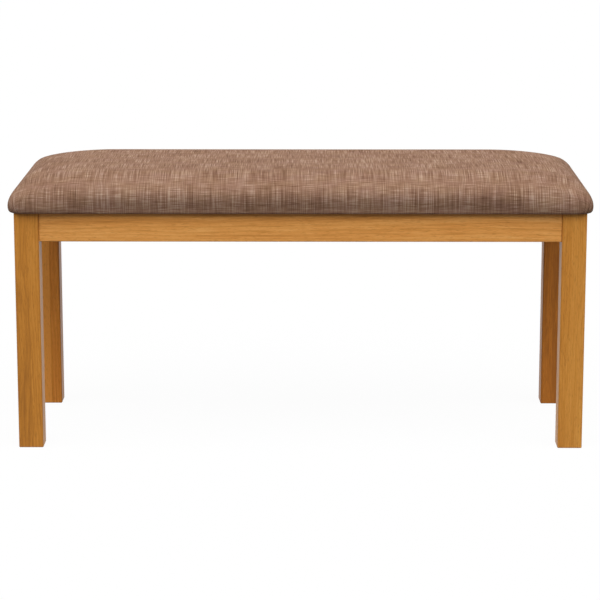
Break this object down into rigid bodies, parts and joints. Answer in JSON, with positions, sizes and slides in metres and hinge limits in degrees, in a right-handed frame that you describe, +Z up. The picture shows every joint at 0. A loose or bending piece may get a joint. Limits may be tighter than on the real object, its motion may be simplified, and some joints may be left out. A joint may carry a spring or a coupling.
{
  "type": "dining bench",
  "caption": "Backless dining bench: a square-legged oak frame with mortised aprons and a crowned, fabric-covered seat pad.",
  "frame": {"origin": "on the floor under the middle of the bench", "axes": "+X along the bench to the right as seen from its front, +Y from the front to the back, +Z up"},
  "size_m": [1.044, 0.396, 0.502],
  "materials": {
    "lacquered_oak": "satin",
    "planed_pine": "matte",
    "beech_dowel": "matte",
    "zinc_plated_steel": "satin",
    "plywood": "matte",
    "upholstery_foam": "matte",
    "woven_fabric": "matte",
    "dust_cloth": "matte"
  },
  "bodies": {
    "root": {"leg_front_left": "lacquered_oak", "leg_front_right": "lacquered_oak", "leg_back_left": "lacquered_oak", "leg_back_right": "lacquered_oak", "apron_front": "lacquered_oak", "apron_back": "lacquered_oak", "apron_left": "lacquered_oak", "apron_right": "lacquered_oak", "corner_block_front_left": "planed_pine", "corner_block_front_right": "planed_pine", "corner_block_back_left": "planed_pine", "corner_block_back_right": "planed_pine", "bearer_left": "planed_pine", "bearer_right": "planed_pine", "bearer_dowels": "beech_dowel", "block_screws": "zinc_plated_steel", "seat_screws": "zinc_plated_steel", "seat_board": "plywood", "seat_foam": "upholstery_foam", "seat_cover": "woven_fabric", "dust_cover": "dust_cloth"}
  },
  "joints": []
}
